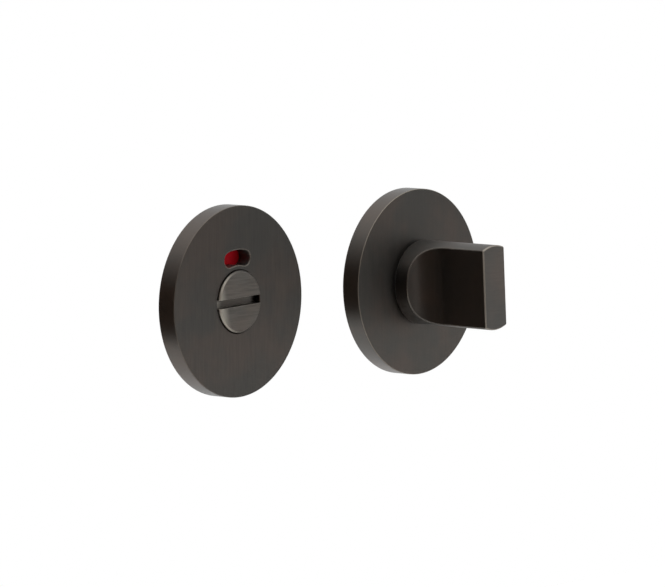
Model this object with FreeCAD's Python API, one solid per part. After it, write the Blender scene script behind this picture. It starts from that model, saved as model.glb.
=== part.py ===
import FreeCAD, Part
import math
import os

from FreeCAD import Vector

# Bathroom thumb turn set: a thumb turn for the inside of the door and a coin release with an
# occupied window for the outside, laid side by side with both fronts facing the same way.
# Each half is drawn about its own axis, seen from its front: x to the right, y up and z out of
# the door, with z = 0 on the door face. The finished pieces are then stood up, front to -Y.
# All lengths are in millimetres and all angles in degrees.

# Driving dimensions of the two roses, the round covers that show on the door
half_spacing = 75.7
rose_diameter = 52.0
rose_height = 5.5
rose_face_wall = 2.1
rose_rim_wall = 1.3
rose_edge_break = 0.14
hub_seat_wall = 1.4
hub_outer_wall = 1.25

# Snap fit that holds each rose on its backplate
clip_depth = 0.4
clip_width = 1.0
clip_gap = 0.1
clip_count = 4
clip_angle = 14.0

# Backplates: ribbed rings that are bolted to the door under the roses
plate_gap = 0.2
plate_web = 1.2
plate_wall = 1.2
rib_width = 1.0
rib_count = 8
bolt_hole = 4.4
bolt_head = 6.6
boss_wall = 1.0

# Threaded posts of the release backplate, which take the through bolts
post_diameter = 5.4
post_flange_diameter = 6.6
post_flange = 1.0
post_reach = 7.0
post_thread = 3.3
post_end_wall = 0.8

# Shanks, bushes and the stack of rings behind each rose
shank_diameter = 11.0
shank_flat = 1.0
bush_wall = 0.8
bush_stand = 0.15
stop_plate = 0.8
stop_plate_gap = 0.3
stop_pin = 2.0
stop_pin_gap = 0.15
stop_pin_depth = 1.6
stop_pin_reach = 0.4
quarter_turn = 90.0
spring_thickness = 0.4
spring_height = 0.8
spring_width = 3.5
washer_thickness = 0.5
washer_width = 2.9
circlip_thickness = 1.0
circlip_width = 1.7
circlip_groove = 0.25
circlip_gap_angle = 7.0
circlip_lug = 2.8
circlip_lug_hole = 1.2

# Thumb turn: a round bar scooped on both sides into a blade, which leans a little to the left
knob_diameter = 23.6
knob_reach = 27.6
knob_edge_break = 0.3
blade_thickness = 9.2
scoop_start = 5.7
scoop_radius = 7.3
scoop_edge_break = 0.18
neck_flange = 1.1
neck_inset = 1.4
turn_tail = 8.0
turn_lean = 3.5

# Spindle in the thumb turn, shown pushed fully home
spindle_width = 5.0
spindle_tail = 18.0
spindle_edge_break = 0.3
socket_end_wall = 7.0
grub_diameter = 4.0
grub_hex = 2.0
grub_hex_depth = 1.5
grub_point = 0.6

# Coin release and its window; the rose is snapped on a little to the left of upright
coin_diameter = 16.9
coin_proud = 0.8
coin_edge_break = 0.4
coin_slot_width = 2.3
coin_slot_depth = 2.5
coin_web = 0.5
coin_gap = 0.2
release_flange = 0.4
release_tail = 4.5
release_lean = 2.2
socket_web = 0.75
window_width = 4.2
window_web = 1.2
window_half_angle = 15.0
window_edge_break = 0.15

# Clearances
running_gap = 0.05
seat_gap = 0.02

# Directions about an axis, how far cutting shapes overrun, and the tolerance for finding edges
above = 90.0
below = -90.0
cut_margin = 1.0
same = 1e-6

# Radii and heights worked out from the values above
rose_radius = rose_diameter / 2
rim_inner = rose_radius - rose_rim_wall
face_back = rose_height - rose_face_wall
coin_hole = coin_diameter / 2 + coin_gap
window_radius = coin_hole + window_web + window_width / 2
hub_radius = window_radius + window_width / 2 + hub_outer_wall
plate_outer = rim_inner - plate_gap
plate_inner = hub_radius + plate_gap
plate_middle = (plate_inner + plate_outer) / 2
plate_height = face_back - plate_gap
clip_middle = plate_height / 2
shank_radius = shank_diameter / 2
bush_inner = shank_radius + running_gap
bush_outer = bush_inner + bush_wall
bush_bore = bush_outer + seat_gap
coin_front = rose_height + coin_proud
coin_slot_floor = coin_front - coin_slot_depth
coin_back = coin_slot_floor - coin_web
flange_front = coin_back - running_gap
coin_seat = flange_front - release_flange
hub_back = coin_seat - hub_seat_wall
bush_back = hub_back - bush_stand
stop_front = bush_back - running_gap
stop_back = stop_front - stop_plate
stop_radius = hub_radius - stop_plate_gap
spring_back = stop_back - spring_height
washer_back = spring_back - washer_thickness
circlip_back = washer_back - circlip_thickness
knob_base = rose_height + neck_flange + running_gap
knob_end = rose_height + knob_reach
knob_radius = knob_diameter / 2
socket_width = spindle_width + 2 * running_gap
socket_end = knob_end - socket_end_wall
grub_height = (circlip_back - turn_tail) / 2


def point(radius, angle, z=0.0):
    turn = math.radians(angle)
    return Vector(radius * math.cos(turn), radius * math.sin(turn), z)


def disc(radius, z0, z1):
    return Part.makeCylinder(radius, z1 - z0, Vector(0, 0, z0))


def ring(inner, outer, z0, z1):
    return disc(outer, z0, z1).cut(disc(inner, z0 - cut_margin, z1 + cut_margin))


def bar(width_x, width_y, z0, z1):
    return Part.makeBox(width_x, width_y, z1 - z0, Vector(-width_x / 2, -width_y / 2, z0))


def turned(profile, angle=360.0):
    """Revolve a profile of (radius, z) corners about the axis."""
    corners = [Vector(r, 0, z) for r, z in profile]
    outline = Part.makePolygon(corners + corners[:1])
    return Part.Face(outline).revolve(Vector(0, 0, 0), Vector(0, 0, 1), angle)


def spun(shape, angle):
    copy = shape.copy()
    copy.rotate(Vector(0, 0, 0), Vector(0, 0, 1), angle)
    return copy


def arc_slot(middle, width, start, stop, z0, z1):
    """A curved slot about the axis, with round ends centred on its start and stop angles."""
    half = width / 2
    centre = (start + stop) / 2
    outer = Part.Arc(point(middle + half, start, z0), point(middle + half, centre, z0),
                     point(middle + half, stop, z0))
    inner = Part.Arc(point(middle - half, stop, z0), point(middle - half, centre, z0),
                     point(middle - half, start, z0))
    bulge = Vector(0, 0, 1)
    stop_tip = point(middle, stop, z0) + bulge.cross(point(1, stop)) * half
    start_tip = point(middle, start, z0) - bulge.cross(point(1, start)) * half
    stop_end = Part.Arc(point(middle + half, stop, z0), stop_tip, point(middle - half, stop, z0))
    start_end = Part.Arc(point(middle - half, start, z0), start_tip, point(middle + half, start, z0))
    outline = Part.Wire([arc.toShape() for arc in (outer, stop_end, inner, start_end)])
    return Part.Face(outline).extrude(Vector(0, 0, z1 - z0))


def edges_on_face(shape, z, reach):
    """Edges that lie at height z with their middle within reach of the axis."""
    def belongs(edge):
        middle = edge.valueAt((edge.FirstParameter + edge.LastParameter) / 2)
        level = abs(edge.BoundBox.ZMin - z) < same and abs(edge.BoundBox.ZMax - z) < same
        return level and math.hypot(middle.x, middle.y) < reach
    return [edge for edge in shape.Edges if belongs(edge)]


def rose_rim_profile():
    """The rim, the groove for the backplate and the hub, from the hub's back to the front edge."""
    groove_top = clip_middle + clip_width / 2
    groove_base = clip_middle - clip_width / 2
    return [(hub_radius, hub_back), (hub_radius, face_back), (rim_inner, face_back),
            (rim_inner, groove_top), (rim_inner + clip_depth, groove_top),
            (rim_inner + clip_depth, groove_base), (rim_inner, groove_base), (rim_inner, 0),
            (rose_radius, 0), (rose_radius, rose_height - rose_edge_break),
            (rose_radius - rose_edge_break, rose_height)]


def stop_pin_hole():
    return disc(stop_pin / 2 + seat_gap, hub_back - cut_margin, hub_back + stop_pin_depth)


def at_stop_pin(shape):
    """The stop pin stands straight below the axis."""
    return shape.translated(point(window_radius, below))


def turn_rose():
    body = turned([(bush_bore, hub_back)] + rose_rim_profile() + [(bush_bore, rose_height)])
    return body.cut(at_stop_pin(stop_pin_hole()))


def release_rose():
    front = [(coin_hole, rose_height), (coin_hole, coin_seat), (bush_bore, coin_seat)]
    body = turned([(bush_bore, hub_back)] + rose_rim_profile() + front)
    window = arc_slot(window_radius, window_width, above - window_half_angle, above + window_half_angle,
                      hub_back - cut_margin, rose_height + cut_margin)
    body = body.cut(window).cut(at_stop_pin(stop_pin_hole()))
    return body.makeChamfer(window_edge_break, edges_on_face(body, rose_height, hub_radius))


def plate_clip():
    """One snap nib: a low wedge on the rim of the backplate."""
    half = clip_width / 2 - clip_gap
    tip = rim_inner + clip_depth - clip_gap
    wedge = turned([(plate_outer - plate_wall / 2, clip_middle - half), (tip, clip_middle),
                    (plate_outer - plate_wall / 2, clip_middle + half)], clip_angle)
    return spun(wedge, -clip_angle / 2)


def at_both_bolts(shape):
    """The bolts stand above and below the axis, on the middle of the ring."""
    return [shape.translated(point(plate_middle, side)) for side in (above, below)]


def ribbed_ring(boss_radius):
    """A flat ring, hollow at the back, with radial ribs, two bolt bosses and snap nibs."""
    web_back = plate_height - plate_web
    body = ring(plate_inner, plate_outer, 0, plate_height)
    body = body.cut(ring(plate_inner + plate_wall, plate_outer - plate_wall, -cut_margin, web_back))
    length = plate_outer - plate_inner - plate_wall
    rib = Part.makeBox(length, rib_width, plate_height - plate_web / 2)
    rib = rib.translated(Vector(plate_middle - length / 2, -rib_width / 2, 0))
    step = 360.0 / rib_count
    body = body.fuse([spun(rib, step * (i + 0.5)) for i in range(rib_count)])
    room = ring(plate_inner, plate_outer, 0, plate_height)
    boss = disc(boss_radius, 0, plate_height)
    bosses = [placed.common(room) for placed in at_both_bolts(boss)]
    clips = [spun(plate_clip(), 360.0 / clip_count * (i + 0.5)) for i in range(clip_count)]
    return body.fuse(bosses + clips).removeSplitter()


def turn_backplate():
    """The ring that the through bolts pull against, countersunk for their heads."""
    sink = (bolt_head - bolt_hole) / 2
    hole = turned([(0, -cut_margin), (bolt_hole / 2, -cut_margin), (bolt_hole / 2, plate_height - sink),
                   (bolt_head / 2, plate_height), (bolt_head / 2, plate_height + cut_margin),
                   (0, plate_height + cut_margin)])
    return ribbed_ring(bolt_head / 2 + boss_wall).cut(at_both_bolts(hole))


def release_backplate():
    """The ring that carries the threaded posts, counterbored for their flanges."""
    bore = disc(post_diameter / 2 + running_gap, -cut_margin, plate_height + cut_margin)
    seat = disc(post_flange_diameter / 2 + running_gap, plate_height - post_flange,
                plate_height + cut_margin)
    return ribbed_ring(post_flange_diameter / 2 + boss_wall).cut(at_both_bolts(bore.fuse(seat)))


def release_posts():
    """Two flanged posts, each tapped from its door end."""
    flange_back = plate_height - post_flange
    thread_end = flange_back - post_end_wall
    body = disc(post_diameter / 2, -post_reach, plate_height)
    body = body.fuse(disc(post_flange_diameter / 2, flange_back, plate_height)).removeSplitter()
    body = body.cut(disc(post_thread / 2, -post_reach - cut_margin, thread_end))
    return Part.makeCompound(at_both_bolts(body))


def bush(flange_radius, flange_back, flange_height):
    """A flanged plain bearing that stands a little proud of the back of the hub."""
    return turned([(bush_inner, bush_back), (bush_outer, bush_back), (bush_outer, flange_back),
                   (flange_radius, flange_back), (flange_radius, flange_height),
                   (bush_inner, flange_height)])


def turn_bush():
    return bush(knob_radius - neck_inset, rose_height, rose_height + neck_flange)


def release_bush():
    return bush(coin_hole - running_gap, coin_seat, flange_front)


def flat_sided(radius, half_flat, z0, z1):
    """A round bar with a flat on its left and right sides."""
    return disc(radius, z0, z1).common(bar(2 * half_flat, 2 * radius, z0, z1))


def shank(front, tail):
    """The turning shaft: round in the bush, flat sided behind it, with a groove for the circlip."""
    body = disc(shank_radius, bush_back, front)
    body = body.fuse(flat_sided(shank_radius, shank_radius - shank_flat, -tail, bush_back))
    groove_floor = shank_radius - circlip_groove
    groove = ring(groove_floor, shank_radius + cut_margin, circlip_back - seat_gap, washer_back)
    return body.removeSplitter().cut(groove)


def scoop(side):
    """What is milled away beside the blade: a flat side that sweeps out to the round bar."""
    flat = blade_thickness / 2
    base = rose_height + scoop_start
    reach = max(knob_radius, flat + scoop_radius) + cut_margin
    top = knob_end + cut_margin
    bend = scoop_radius * (1 - math.sqrt(0.5))
    corners = [Vector(flat, 0, top), Vector(flat, 0, base + scoop_radius),
               Vector(flat + bend, 0, base + bend), Vector(flat + scoop_radius, 0, base),
               Vector(reach, 0, base), Vector(reach, 0, top)]
    sweep = Part.Arc(corners[1], corners[2], corners[3]).toShape()
    sides = [Part.makeLine(corners[i], corners[(i + 1) % 6]) for i in (0, 3, 4, 5)]
    outline = Part.Wire([sides[0], sweep] + sides[1:])
    width = 2 * (knob_radius + cut_margin)
    cutter = Part.Face(outline).extrude(Vector(0, width, 0)).translated(Vector(0, -width / 2, 0))
    return spun(cutter, side)


def scoop_rims(shape):
    """The edges where the scoops run out through the round of the bar."""
    def belongs(edge):
        box = edge.BoundBox
        inside = box.ZMin > knob_base + cut_margin and box.ZMax < knob_end + same
        middle = edge.valueAt((edge.FirstParameter + edge.LastParameter) / 2)
        on_round = abs(math.hypot(middle.x, middle.y) - knob_radius) < same
        return inside and on_round and box.ZLength > cut_margin
    return [edge for edge in shape.Edges if belongs(edge)]


def knob():
    bar_profile = [(0, knob_base), (knob_radius - knob_edge_break, knob_base),
                   (knob_radius, knob_base + knob_edge_break), (knob_radius, knob_end), (0, knob_end)]
    body = turned(bar_profile).cut([scoop(0), scoop(180)])
    body = body.makeChamfer(scoop_edge_break, scoop_rims(body))
    return body.makeChamfer(knob_edge_break, edges_on_face(body, knob_end, knob_radius + cut_margin))


def grub_place(shape):
    """Lay a grub screw shape across the tail of the shank, pointing at the spindle from below."""
    laid = shape.copy()
    laid.rotate(Vector(0, 0, 0), Vector(1, 0, 0), 90)
    return laid.translated(Vector(0, 0, grub_height))


def thumb_turn():
    body = knob().fuse(shank(knob_base + cut_margin, turn_tail)).removeSplitter()
    socket = bar(socket_width, socket_width, -turn_tail - cut_margin, socket_end + running_gap)
    grub_hole = grub_place(disc(grub_diameter / 2 + seat_gap, 0, shank_radius + cut_margin))
    return body.cut([socket, grub_hole])


def spindle():
    body = bar(spindle_width, spindle_width, -spindle_tail, socket_end)
    ends = [edge for edge in body.Edges if edge.BoundBox.ZLength < spindle_edge_break]
    return body.makeChamfer(spindle_edge_break, ends)


def spindle_grub_screw():
    """A socket grub screw with a cone point, from the spindle's flat out to the shank's surface."""
    seat = spindle_width / 2
    radius = grub_diameter / 2
    body = turned([(0, seat), (radius - grub_point, seat), (radius, seat + grub_point),
                   (radius, shank_radius), (0, shank_radius)])
    corner = grub_hex / 2 / math.cos(math.radians(30))
    corners = [point(corner, 60 * i, shank_radius - grub_hex_depth) for i in range(7)]
    key = Part.Face(Part.makePolygon(corners)).extrude(Vector(0, 0, grub_hex_depth + cut_margin))
    return grub_place(body.cut(key))


def stop_disc(slot_start):
    """A plate keyed to the shank, with a quarter-turn slot that runs on the stop pin."""
    key = flat_sided(shank_radius + running_gap, shank_radius - shank_flat + running_gap,
                     stop_back - cut_margin, stop_front + cut_margin)
    slot = arc_slot(window_radius, stop_pin + 2 * stop_pin_gap, slot_start, slot_start + quarter_turn,
                    stop_back - cut_margin, stop_front + cut_margin)
    return disc(stop_radius, stop_back, stop_front).cut([key, slot])


def turn_stop_plate():
    return stop_disc(below - quarter_turn)


def indicator_disc():
    return stop_disc(below)


def stop_pin_piece():
    return at_stop_pin(disc(stop_pin / 2, stop_back - stop_pin_reach, hub_back + stop_pin_depth))


def disc_spring():
    """A coned spring washer that keeps the stack tight."""
    inner = shank_radius + running_gap
    outer = inner + spring_width
    return turned([(inner, spring_back), (outer, stop_back - spring_thickness), (outer, stop_back),
                   (inner, spring_back + spring_thickness)])


def thrust_washer():
    inner = shank_radius + running_gap
    return ring(inner, inner + washer_width, washer_back, spring_back)


def circlip():
    """An outside retaining ring: open at the top, with two lugs for the pliers."""
    inner = shank_radius - circlip_groove + seat_gap
    outer = inner + circlip_width
    lug_angle = circlip_gap_angle + math.degrees(circlip_lug / 2 / outer)
    lug = disc(circlip_lug / 2, circlip_back, washer_back)
    hole = disc(circlip_lug_hole / 2, circlip_back - cut_margin, washer_back + cut_margin)
    lug_places = [point(outer, above + lug_angle), point(outer, above - lug_angle)]
    reach = outer + circlip_lug
    corners = [Vector(0, 0, circlip_back), point(reach, above - circlip_gap_angle, circlip_back),
               point(reach, above + circlip_gap_angle, circlip_back)]
    gap = Part.makePolygon(corners + corners[:1])
    body = disc(outer, circlip_back, washer_back).fuse([lug.translated(place) for place in lug_places])
    body = body.removeSplitter().cut([hole.translated(place) for place in lug_places])
    bore = disc(inner, circlip_back - cut_margin, washer_back + cut_margin)
    return body.cut([bore, Part.Face(gap).extrude(Vector(0, 0, circlip_thickness))])


def coin_turn():
    """The slotted release: a disc for a coin, on a shank with a socket for the spindle."""
    radius = coin_diameter / 2
    head = turned([(0, coin_back), (radius, coin_back), (radius, coin_front - coin_edge_break),
                   (radius - coin_edge_break, coin_front), (0, coin_front)])
    slot = bar(coin_diameter + cut_margin, coin_slot_width, coin_slot_floor, coin_front + cut_margin)
    body = head.cut(slot).fuse(shank(coin_back, release_tail)).removeSplitter()
    socket = bar(socket_width, socket_width, -release_tail - cut_margin, coin_slot_floor - socket_web)
    return body.cut(socket)


def stand_up(shape, centre_x, turned_by=0.0):
    """Turn a piece about its axis, face it to -Y with its top to +Z, and move it to its half."""
    placed = spun(shape, turned_by)
    placed.rotate(Vector(0, 0, 0), Vector(1, 0, 0), 90)
    return placed.translated(Vector(centre_x, 0, 0))


def main():
    turn_fixed = {"turn_rose": turn_rose(), "turn_backplate": turn_backplate(),
                  "turn_bush": turn_bush(), "turn_stop_pin": stop_pin_piece()}
    turn_moving = {"thumb_turn": thumb_turn(), "turn_stop_plate": turn_stop_plate(),
                   "turn_disc_spring": disc_spring(), "turn_thrust_washer": thrust_washer(),
                   "turn_circlip": circlip(), "spindle": spindle(),
                   "spindle_grub_screw": spindle_grub_screw()}
    release_fixed = {"release_backplate": release_backplate(), "release_posts": release_posts()}
    release_front = {"release_rose": release_rose(), "release_bush": release_bush(),
                     "release_stop_pin": stop_pin_piece(), "coin_turn": coin_turn(),
                     "indicator_disc": indicator_disc(), "release_disc_spring": disc_spring(),
                     "release_thrust_washer": thrust_washer(), "release_circlip": circlip()}
    groups = [(turn_fixed, 0.0, 0.0), (turn_moving, 0.0, turn_lean),
              (release_fixed, -half_spacing, 0.0), (release_front, -half_spacing, release_lean)]
    os.makedirs("parts", exist_ok=True)
    for pieces, centre_x, lean in groups:
        for name, shape in pieces.items():
            stand_up(shape, centre_x, lean).exportStep(f"parts/{name}.step")


main()
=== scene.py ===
import math

import bpy
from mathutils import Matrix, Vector


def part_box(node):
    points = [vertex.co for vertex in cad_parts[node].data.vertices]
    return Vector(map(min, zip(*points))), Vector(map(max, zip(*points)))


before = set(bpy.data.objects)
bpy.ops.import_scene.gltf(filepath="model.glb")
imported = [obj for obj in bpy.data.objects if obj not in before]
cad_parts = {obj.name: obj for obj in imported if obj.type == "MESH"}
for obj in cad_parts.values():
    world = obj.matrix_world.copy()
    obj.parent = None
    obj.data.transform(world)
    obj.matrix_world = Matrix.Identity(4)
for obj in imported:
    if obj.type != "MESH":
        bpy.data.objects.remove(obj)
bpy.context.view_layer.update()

# Bathroom thumb turn set in brushed dark bronze, on white. All lengths are in metres.

# Camera, at the photograph's viewing angle
view_azimuth = -49.35
view_elevation = 5.49
view_distance = 1.636
view_lens = 322.5
look_at = Vector((-0.03674, -0.0054, -0.00066))

# Studio: plain white all round, with a soft lamp above and one below
white = (1.0, 1.0, 1.0)
lamp_height = 0.9
lamp_size = 1.6
lamp_power = 6.0
fill_size = 1.85
fill_power = 14.0

# Pale floor under the right and the front, measured from the middle of the set
floor_drop = 0.11
floor_x = (-0.13, 0.5)
floor_y = (-0.4, 0.07)
floor_tone = (0.88, 0.88, 0.88)

# Dark cloth round the set. It thins out towards the clear side, the top and the foot
cloth_radius = 2.2
cloth_steps = 72
cloth_tone = (0.145, 0.1, 0.075)
clear_side = (0.985, -0.17, 0.0)
clear_from = 0.82
dense_from = -0.35
top_range = (0.14, 0.84)
foot_range = (-0.38, -0.72)

# Bronze tones, as linear colours
bronze_grey = (0.066, 0.063, 0.058)
bronze_brown = (0.080, 0.068, 0.060)
bronze_worn = (0.25, 0.225, 0.19)
knob_worn = (0.37, 0.335, 0.29)
coin_grey = (0.088, 0.082, 0.074)
coin_brown = (0.092, 0.079, 0.068)
# The coin's worn tone is also the colour of its painted highlight on the low left side
coin_worn_and_lit = (0.38, 0.355, 0.305)
patina_scale = 60.0
patina_detail = (3.0, 0.6)
patina_range = (0.35, 0.65)

# Brushing of the bronze: cycles a metre across and along the lines, and how strongly they show
lines_across = 1800.0
lines_along = 120.0
lines_detail = (4.0, 0.65)
side_contrast = 0.02
brush_strength = 0.1
brush_depth = 0.00001
flank_roughness = 0.3
flank_range = (0.2, 0.6)
bronze_metallic = 0.95
bronze_anisotropy = 0.4
least_along_axis = 0.02

# How far a surface looks along the axis where it counts as a face, as flat and as a chamfer
face_range = (0.50, 0.65)
flat_range = (0.80, 0.98)
chamfer_slant = 0.68
chamfer_band = 0.2
knob_face_limit = -0.03

# Worn edges of the bronze, with the edge of the window worn by itself
edge_radius = 0.0002
edge_samples = 6
edge_turn = (0.99, 0.9)
window_from = 0.0093
window_to = 0.018
ring_blur = 0.0003
window_edge_radius = 0.0004
window_wall_limit = 0.4
window_wall_metallic = 0.45

# Painted light: the roses are painted a little lighter towards the foot, where light from below falls, and
# the coin turn's chamfer and face are painted lighter on the low left side as a painted highlight
rose_radius = 0.026
painted_foot_light = 0.12
coin_lit_side = (-0.98, 0.0, -0.2)
coin_face_highlight_span = (0.0047, 0.0082)
coin_face_highlight = 0.6
coin_chamfer_highlight_span = (0.0, 0.0085)

# Middle range of a noise, where most of its values lie, and the detail and roughness of a fine grit
noise_low = 0.3
noise_high = 0.7
grit_detail = (2.0, 0.6)

# Moulded nylon
nylon_grey = (0.1, 0.1, 0.105)
nylon_black = (0.015, 0.015, 0.015)
nylon_lighter = 1.4
nylon_grit = 2500.0
nylon_cloud = 90.0
nylon_relief = 0.3
nylon_depth = 0.00005
nylon_roughness = (0.45, 0.62)

# Steel: zinc-plated and spring steel
zinc_tone = (0.42, 0.42, 0.43)
zinc_roughness = 0.34
spring_tone = (0.12, 0.12, 0.125)
spring_roughness = 0.4
steel_lighter = 1.25
steel_lines = (400.0, 6000.0, 400.0)
steel_detail = (3.0, 0.6)
steel_cloud = 150.0
steel_relief = 0.2
steel_depth = 0.00003
steel_spread = 0.06

# Thread in the bores of the posts
post_offset = 0.02
thread_pitch = 0.0007
thread_radius = 0.0018

# Paint of the indicator's two fields
red_deep = (0.7, 0.006, 0.018)
red_light = (0.8, 0.008, 0.024)
white_deep = (0.7, 0.7, 0.68)
white_light = (0.8, 0.8, 0.78)
paint_grit = 1800.0
paint_relief = 0.15
paint_depth = 0.00003
paint_roughness = (0.5, 0.65)
paint_specular = 0.1
field_blur = 0.0001

axis_x = (1.0, 0.0, 0.0)
axis_y = (0.0, 1.0, 0.0)
axis_z = (0.0, 0.0, 1.0)
off_axis = (1.0, 0.0, 1.0)
level_plane = (1.0, 1.0, 0.0)


class Graph:
    """A node tree: each method adds a node and returns what it puts out."""

    def __init__(self, tree):
        self.tree = tree
        self.tree.nodes.clear()

    def node(self, kind, settings=None, **inputs):
        made = self.tree.nodes.new(kind)
        for name, value in (settings or {}).items():
            setattr(made, name, value)
        for name, value in inputs.items():
            self.feed(made.inputs[name], value)
        return made

    def feed(self, socket, value):
        if isinstance(value, bpy.types.NodeSocket):
            self.tree.links.new(value, socket)
        else:
            socket.default_value = value

    def math(self, operation, first, second=0.0, third=0.0):
        made = self.node("ShaderNodeMath", {"operation": operation})
        for socket, fed in zip(made.inputs, (first, second, third)):
            self.feed(socket, fed)
        return made.outputs[0]

    def vector(self, operation, first, second=(0.0, 0.0, 0.0)):
        made = self.node("ShaderNodeVectorMath", {"operation": operation})
        self.feed(made.inputs[0], first)
        self.feed(made.inputs[1], second)
        return made.outputs["Value" if operation in ("DOT_PRODUCT", "LENGTH") else "Vector"]

    def ramp(self, value, low, high, out_low=0.0, out_high=1.0):
        made = self.node("ShaderNodeMapRange", {"interpolation_type": "SMOOTHSTEP"})
        for socket, fed in zip(made.inputs, (value, low, high, out_low, out_high)):
            self.feed(socket, fed)
        return made.outputs["Result"]

    def mix(self, factor, first, second, kind="RGBA"):
        made = self.node("ShaderNodeMix", {"data_type": kind, "clamp_factor": True})
        sockets = {"RGBA": (0, 6, 7, 2), "VECTOR": (0, 4, 5, 1), "FLOAT": (0, 2, 3, 0)}[kind]
        for index, fed in zip(sockets, (factor, first, second)):
            self.feed(made.inputs[index], fed)
        return made.outputs[sockets[3]]

    def noise(self, point, scale, detail=2.0, roughness=0.5):
        made = self.node("ShaderNodeTexNoise", Vector=point, Scale=scale, Detail=detail,
                         Roughness=roughness)
        return made.outputs["Fac"]

    def spread(self, noise, low, high):
        return self.ramp(noise, noise_low, noise_high, low, high)

    def end(self, kind, surface):
        output = self.node(kind)
        self.feed(output.inputs["Surface"], surface)


def colour(tone):
    return (*tone, 1.0)


def lighter(tone, times):
    return tuple(level * times for level in tone)


def middle_of(node):
    low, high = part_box(node)
    return tuple((low + high) / 2)


def new_graph(name):
    material = bpy.data.materials.new(name)
    material.use_nodes = True
    return material, Graph(material.node_tree)


def link(thing):
    bpy.context.scene.collection.objects.link(thing)


def add_camera():
    azimuth = math.radians(view_azimuth)
    elevation = math.radians(view_elevation)
    outward = Vector((math.sin(azimuth) * math.cos(elevation),
                      -math.cos(azimuth) * math.cos(elevation), math.sin(elevation)))
    camera = bpy.data.objects.new("camera", bpy.data.cameras.new("camera"))
    camera.data.lens = view_lens
    camera.location = look_at + outward * view_distance
    camera.rotation_euler = outward.to_track_quat("Z", "Y").to_euler()
    link(camera)
    bpy.context.scene.camera = camera


def add_world():
    """Plain white all round, at the strength that shows as white."""
    world = bpy.data.worlds.new("studio")
    bpy.context.scene.world = world
    world.use_nodes = True
    graph = Graph(world.node_tree)
    background = graph.node("ShaderNodeBackground", Color=colour(white), Strength=1.0)
    graph.end("ShaderNodeOutputWorld", background.outputs["Background"])


def add_lamp(name, height, size, power):
    """A wide soft lamp above or below the set, turned to it."""
    lamp = bpy.data.lights.new(name, "AREA")
    lamp.shape = "SQUARE"
    lamp.size = size
    lamp.energy = power
    holder = bpy.data.objects.new(name, lamp)
    holder.location = look_at + Vector((0.0, 0.0, height))
    holder.rotation_euler = (0.0 if height > 0 else math.pi, 0.0, 0.0)
    link(holder)


def add_floor():
    """A pale floor below the set, which takes its shadow."""
    (left, right), (front, back) = floor_x, floor_y
    corners = [(left, front), (right, front), (right, back), (left, back)]
    mesh = bpy.data.meshes.new("floor")
    mesh.from_pydata([(look_at.x + x, y, -floor_drop) for x, y in corners], [], [(0, 1, 2, 3)])
    floor = bpy.data.objects.new("floor", mesh)
    link(floor)
    material, graph = new_graph("floor_white")
    diffuse = graph.node("ShaderNodeBsdfDiffuse", Color=colour(floor_tone))
    graph.end("ShaderNodeOutputMaterial", diffuse.outputs["BSDF"])
    mesh.materials.append(material)


def cloth_material():
    """Dark weave on the left, open towards the clear side, the top and the foot."""
    material, graph = new_graph("dark_cloth")
    point = graph.node("ShaderNodeTexCoord").outputs["Object"]
    height = graph.vector("DOT_PRODUCT", graph.vector("NORMALIZE", point), axis_z)
    level = graph.vector("NORMALIZE", graph.vector("MULTIPLY", point, level_plane))
    side = graph.vector("DOT_PRODUCT", level, clear_side)
    open_side = graph.ramp(side, dense_from, clear_from)
    open_end = graph.math("MAXIMUM", graph.ramp(height, *top_range), graph.ramp(height, *foot_range))
    surface = graph.node("ShaderNodeMixShader", Fac=graph.math("MAXIMUM", open_side, open_end))
    weave = graph.node("ShaderNodeBsdfDiffuse", Color=colour(cloth_tone))
    gap = graph.node("ShaderNodeBsdfTransparent")
    graph.feed(surface.inputs[1], weave.outputs["BSDF"])
    graph.feed(surface.inputs[2], gap.outputs["BSDF"])
    graph.end("ShaderNodeOutputMaterial", surface.outputs["Shader"])
    return material


def add_cloth():
    """The cloth hangs round the set, out of the picture, so that the metal's left sides are dark."""
    turns = [2 * math.pi * step / cloth_steps for step in range(cloth_steps)]
    ring = [(cloth_radius * math.cos(turn), cloth_radius * math.sin(turn)) for turn in turns]
    points = [(x, y, height) for height in (-cloth_radius, cloth_radius) for x, y in ring]
    following = [(step + 1) % cloth_steps for step in range(cloth_steps)]
    faces = [(step, after, cloth_steps + after, cloth_steps + step) for step, after in enumerate(following)]
    mesh = bpy.data.meshes.new("cloth")
    mesh.from_pydata(points, [], faces)
    mesh.materials.append(cloth_material())
    cloth = bpy.data.objects.new("cloth", mesh)
    cloth.location = look_at
    cloth.visible_camera = False
    link(cloth)


def side_tangent(graph, normal):
    """The way that reflections spread on sides: level, and along the axis on round ones."""
    parts = graph.node("ShaderNodeSeparateXYZ", Vector=normal)
    side = graph.math("SIGN", parts.outputs["X"])
    along_x = graph.math("MULTIPLY", graph.math("MULTIPLY", parts.outputs["Y"], side), -1.0)
    along_y = graph.math("ADD", graph.math("ABSOLUTE", parts.outputs["X"]), least_along_axis)
    return graph.node("ShaderNodeCombineXYZ", X=along_x, Y=along_y).outputs["Vector"]


def spread_direction(graph, normal, is_face, face_across):
    across = graph.mix(is_face, side_tangent(graph, normal), face_across, "VECTOR")
    settings = {"vector_type": "VECTOR", "convert_from": "OBJECT", "convert_to": "WORLD"}
    return graph.node("ShaderNodeVectorTransform", settings, Vector=across).outputs["Vector"]


def face_masks(graph, point, normal, face_limit):
    """How far a surface looks along the axis, and where it is a face, where flat and where a chamfer."""
    axial = graph.math("ABSOLUTE", graph.vector("DOT_PRODUCT", normal, axis_y))
    in_limit = graph.math("LESS_THAN", graph.vector("DOT_PRODUCT", point, axis_y), face_limit)
    is_face = graph.math("MULTIPLY", graph.ramp(axial, *face_range), in_limit)
    is_flat = graph.ramp(axial, *flat_range)
    on_slant = graph.math("MULTIPLY", graph.math("COMPARE", axial, chamfer_slant, chamfer_band), in_limit)
    return axial, is_face, is_flat, on_slant


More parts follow.
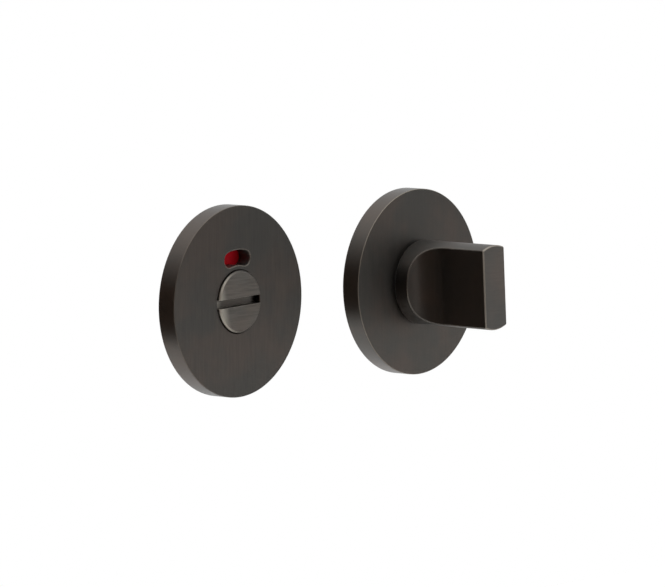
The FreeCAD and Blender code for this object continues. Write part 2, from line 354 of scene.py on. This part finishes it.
def brushed_grain(graph, point, is_face, face_across):
    face_lines = tuple(lines_across if along else lines_along for along in face_across)
    face_point = graph.vector("MULTIPLY", point, face_lines)
    side_point = graph.vector("MULTIPLY", point, (lines_along, lines_across, lines_along))
    return graph.noise(graph.mix(is_face, side_point, face_point, "VECTOR"), 1.0, *lines_detail)


def brushed_streak(graph, grain, is_face, face_contrast):
    contrast = graph.mix(is_face, side_contrast, face_contrast, "FLOAT")
    return graph.math("ADD", graph.math("MULTIPLY", graph.spread(grain, -1.0, 1.0), contrast), 1.0)


def bronze_tone(graph, point, tones, gain):
    patina = graph.ramp(graph.noise(point, patina_scale, *patina_detail), *patina_range)
    tone = graph.mix(patina, colour(tones[0]), colour(tones[1]))
    gains = graph.node("ShaderNodeCombineXYZ", X=gain, Y=gain, Z=gain).outputs["Vector"]
    return graph.vector("MULTIPLY", tone, gains)


def in_window_ring(graph, point, node):
    """One in the ring round the axis that the window lies in, and nought elsewhere."""
    arm = graph.vector("MULTIPLY", graph.vector("SUBTRACT", point, middle_of(node)), off_axis)
    radius = graph.vector("LENGTH", arm)
    inside = graph.ramp(radius, window_from, window_from + ring_blur)
    outside = graph.ramp(radius, window_to, window_to + ring_blur)
    return graph.math("SUBTRACT", inside, outside)


def window_finish(graph, point, node, axial, edge_wear, wear_at_window):
    """Rounding of edges, their wear and how metallic the surface is, which differ at the window."""
    in_ring = in_window_ring(graph, point, node)
    round_off = graph.mix(in_ring, edge_radius, window_edge_radius, "FLOAT")
    edge_wear = graph.mix(in_ring, edge_wear, wear_at_window, "FLOAT")
    on_wall = graph.math("MULTIPLY", in_ring, graph.math("LESS_THAN", axial, window_wall_limit))
    metallic = graph.mix(on_wall, bronze_metallic, window_wall_metallic, "FLOAT")
    return round_off, edge_wear, metallic


def towards(graph, point, node, axis, span, levels):
    """Goes from the first level to the second over a span along an axis, measured from the middle."""
    offset = graph.vector("SUBTRACT", point, middle_of(node))
    return graph.ramp(graph.vector("DOT_PRODUCT", offset, axis), *span, *levels)


# Painted light from below: each rose's face is painted lighter towards its foot.
def paint_foot_light(graph, point, node, gain, foot_light):
    levels = (gain * (1.0 - foot_light), gain * (1.0 + foot_light))
    return towards(graph, point, node, axis_z, (rose_radius, -rose_radius), levels)


def side_highlight(graph, point, node, side, chamfer_wear_and_highlight):
    """Painted highlight on the chamfer and on the face, which both grow towards the lit side."""
    chamfer_highlight = towards(graph, point, node, side, coin_chamfer_highlight_span, (0.0, chamfer_wear_and_highlight))
    face_highlight = towards(graph, point, node, side, coin_face_highlight_span, (0.0, coin_face_highlight))
    return chamfer_highlight, face_highlight


# Real worn edges and chamfers, together with the coin's painted highlight on its low left side.
def worn_and_lit_places(graph, rounded, edge_wear, on_slant, chamfer_wear_and_highlight, painted_face_highlight):
    sharp = graph.node("ShaderNodeNewGeometry").outputs["Normal"]
    turned = graph.ramp(graph.vector("DOT_PRODUCT", rounded, sharp), *edge_turn)
    at_edge = graph.math("MULTIPLY", turned, edge_wear)
    at_chamfer = graph.math("MULTIPLY", on_slant, chamfer_wear_and_highlight)
    return graph.math("MAXIMUM", graph.math("MAXIMUM", at_edge, at_chamfer), painted_face_highlight)


def bronze_dullness(graph, normal, is_face, is_flat, roughness, streak):
    face_roughness, round_roughness = roughness
    upright = graph.math("ABSOLUTE", graph.vector("DOT_PRODUCT", normal, axis_z))
    on_side = graph.ramp(upright, *flank_range, flank_roughness, round_roughness)
    smooth = graph.mix(graph.math("MAXIMUM", is_face, is_flat), on_side, face_roughness, "FLOAT")
    return graph.math("MULTIPLY", smooth, streak)


def bronze(node, face_across, tones, face_gain, face_contrast, roughness, edge_wear, chamfer_wear_and_highlight,
           face_limit=1.0, wear_at_window=None, foot_light=0.0, lit_side=None):
    """Brushed dark bronze. Faces that look along the axis are brushed one way, the sides round the axis."""
    material, graph = new_graph("bronze_" + node)
    place = graph.node("ShaderNodeTexCoord")
    point = place.outputs["Object"]
    normal = place.outputs["Normal"]
    axial, is_face, is_flat, on_slant = face_masks(graph, point, normal, face_limit)
    grain = brushed_grain(graph, point, is_face, face_across)
    streak = brushed_streak(graph, grain, is_face, face_contrast)
    # Painted light: the faces are painted lighter towards the foot, where light from below falls.
    if foot_light:
        face_gain = paint_foot_light(graph, point, node, face_gain, foot_light)
    gain = graph.math("MULTIPLY", streak, graph.mix(is_flat, 1.0, face_gain, "FLOAT"))
    round_off = edge_radius
    metallic = bronze_metallic
    painted_face_highlight = 0.0
    if wear_at_window:
        finish = window_finish(graph, point, node, axial, edge_wear, wear_at_window)
        round_off, edge_wear, metallic = finish
    # Painted highlight: the coin's chamfer and face are painted lighter towards its low left side.
    if lit_side:
        chamfer_wear_and_highlight, painted_face_highlight = side_highlight(graph, point, node, lit_side, chamfer_wear_and_highlight)
    rounded = graph.node("ShaderNodeBevel", {"samples": edge_samples}, Radius=round_off).outputs["Normal"]
    wear_and_highlight = worn_and_lit_places(graph, rounded, edge_wear, on_slant, chamfer_wear_and_highlight, painted_face_highlight)
    bump = graph.node("ShaderNodeBump", Strength=brush_strength, Distance=brush_depth, Height=grain,
                      Normal=rounded)
    surface = graph.node("ShaderNodeBsdfPrincipled", Metallic=metallic, Anisotropic=bronze_anisotropy,
                         Roughness=bronze_dullness(graph, normal, is_face, is_flat, roughness, streak),
                         Normal=bump.outputs["Normal"],
                         Tangent=spread_direction(graph, normal, is_face, face_across))
    tone = graph.mix(wear_and_highlight, bronze_tone(graph, point, tones, gain), colour(tones[2]))
    graph.feed(surface.inputs["Base Color"], tone)
    graph.end("ShaderNodeOutputMaterial", surface.outputs["BSDF"])
    return material


def nylon(name, tone):
    """Moulded nylon with a fine grit."""
    material, graph = new_graph(name)
    point = graph.node("ShaderNodeTexCoord").outputs["Object"]
    grit = graph.noise(point, nylon_grit, *grit_detail)
    cloud = graph.spread(graph.noise(point, nylon_cloud), 0.0, 1.0)
    bump = graph.node("ShaderNodeBump", Strength=nylon_relief, Distance=nylon_depth, Height=grit)
    surface = graph.node("ShaderNodeBsdfPrincipled", Roughness=graph.spread(grit, *nylon_roughness),
                         Normal=bump.outputs["Normal"])
    tone = graph.mix(cloud, colour(tone), colour(lighter(tone, nylon_lighter)))
    graph.feed(surface.inputs["Base Color"], tone)
    graph.end("ShaderNodeOutputMaterial", surface.outputs["BSDF"])
    return material


def post_thread(graph, point):
    """Height of the thread inside the two posts, which stand above and below their middle."""
    from_middle = graph.vector("SUBTRACT", point, middle_of("release_posts"))
    arm = graph.node("ShaderNodeSeparateXYZ", Vector=from_middle)
    across = arm.outputs["X"]
    up = graph.math("SUBTRACT", graph.math("ABSOLUTE", arm.outputs["Z"]), post_offset)
    turn = graph.math("DIVIDE", graph.math("ARCTAN2", up, across), 2 * math.pi)
    climb = graph.math("ADD", graph.math("DIVIDE", arm.outputs["Y"], thread_pitch), turn)
    radius = graph.vector("LENGTH", graph.node("ShaderNodeCombineXYZ", X=across, Y=up).outputs["Vector"])
    in_bore = graph.math("LESS_THAN", radius, thread_radius)
    return graph.math("MULTIPLY", graph.math("PINGPONG", climb, 0.5), in_bore)


def steel(name, tone, roughness, thread=None):
    """Steel with fine turning lines, and a thread where one is given."""
    material, graph = new_graph(name)
    point = graph.node("ShaderNodeTexCoord").outputs["Object"]
    grain = graph.noise(graph.vector("MULTIPLY", point, steel_lines), 1.0, *steel_detail)
    cloud = graph.spread(graph.noise(point, steel_cloud), 0.0, 1.0)
    bump = graph.node("ShaderNodeBump", Strength=steel_relief, Distance=steel_depth, Height=grain)
    normal = bump.outputs["Normal"]
    if thread:
        ridge = thread(graph, point)
        bump = graph.node("ShaderNodeBump", Distance=thread_pitch, Height=ridge, Normal=normal)
        normal = bump.outputs["Normal"]
    dull = graph.spread(grain, roughness - steel_spread, roughness + steel_spread)
    surface = graph.node("ShaderNodeBsdfPrincipled", Metallic=1.0, Roughness=dull, Normal=normal)
    tone = graph.mix(cloud, colour(tone), colour(lighter(tone, steel_lighter)))
    graph.feed(surface.inputs["Base Color"], tone)
    graph.end("ShaderNodeOutputMaterial", surface.outputs["BSDF"])
    return material


def indicator(name):
    """Red field at the top, white field at the left, on the same disc."""
    material, graph = new_graph(name)
    point = graph.node("ShaderNodeTexCoord").outputs["Object"]
    from_middle = graph.vector("SUBTRACT", point, middle_of("indicator_disc"))
    arm = graph.node("ShaderNodeSeparateXYZ", Vector=from_middle)
    below_left = graph.math("ADD", arm.outputs["X"], arm.outputs["Z"])
    is_white = graph.ramp(below_left, field_blur, -field_blur)
    grit = graph.noise(point, paint_grit, *grit_detail)
    red = graph.mix(grit, colour(red_deep), colour(red_light))
    pale = graph.mix(grit, colour(white_deep), colour(white_light))
    bump = graph.node("ShaderNodeBump", Strength=paint_relief, Distance=paint_depth, Height=grit)
    surface = graph.node("ShaderNodeBsdfPrincipled", Roughness=graph.spread(grit, *paint_roughness),
                         Normal=bump.outputs["Normal"])
    surface.inputs["Specular IOR Level"].default_value = paint_specular
    graph.feed(surface.inputs["Base Color"], graph.mix(is_white, red, pale))
    graph.end("ShaderNodeOutputMaterial", surface.outputs["BSDF"])
    return material


def dress(material, *nodes):
    for name in nodes:
        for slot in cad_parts[name].material_slots:
            slot.material = material


def dress_bronze():
    tones = (bronze_grey, bronze_brown, bronze_worn)
    knob_tones = (bronze_grey, bronze_brown, knob_worn)
    coin_tones = (coin_grey, coin_brown, coin_worn_and_lit)
    dress(bronze("turn_rose", axis_x, tones, face_gain=1.2, face_contrast=0.09,
                 roughness=(0.55, 0.36), edge_wear=0.45, chamfer_wear_and_highlight=0.8, foot_light=painted_foot_light), "turn_rose")
    dress(bronze("release_rose", axis_x, tones, face_gain=0.95, face_contrast=0.13,
                 roughness=(0.5, 0.36), edge_wear=0.15, chamfer_wear_and_highlight=0.25, wear_at_window=1.0,
                 foot_light=painted_foot_light), "release_rose")
    dress(bronze("thumb_turn", axis_z, knob_tones, face_gain=1.25, face_contrast=0.13,
                 roughness=(0.55, 0.5), edge_wear=1.0, chamfer_wear_and_highlight=0.6, face_limit=knob_face_limit),
          "thumb_turn")
    dress(bronze("coin_turn", axis_z, coin_tones, face_gain=1.01, face_contrast=0.26,
                 roughness=(0.45, 0.36), edge_wear=0.3, chamfer_wear_and_highlight=1.0, lit_side=coin_lit_side),
          "coin_turn")


def dress_rest():
    dress(nylon("grey_nylon", nylon_grey), "turn_backplate", "release_backplate")
    dress(nylon("black_nylon", nylon_black), "turn_bush", "release_bush")
    dress(steel("zinc_steel", zinc_tone, zinc_roughness), "turn_stop_pin", "release_stop_pin",
          "turn_stop_plate", "turn_thrust_washer", "release_thrust_washer", "spindle")
    dress(steel("post_steel", zinc_tone, zinc_roughness, post_thread), "release_posts")
    dress(steel("spring_steel", spring_tone, spring_roughness), "turn_disc_spring", "release_disc_spring",
          "turn_circlip", "release_circlip", "spindle_grub_screw")
    dress(indicator("indicator_paint"), "indicator_disc")


bpy.context.scene.view_settings.view_transform = "Standard"
add_camera()
add_world()
add_lamp("overhead", lamp_height, lamp_size, lamp_power)
add_lamp("fill", -lamp_height, fill_size, fill_power)
add_floor()
add_cloth()
dress_bronze()
dress_rest()
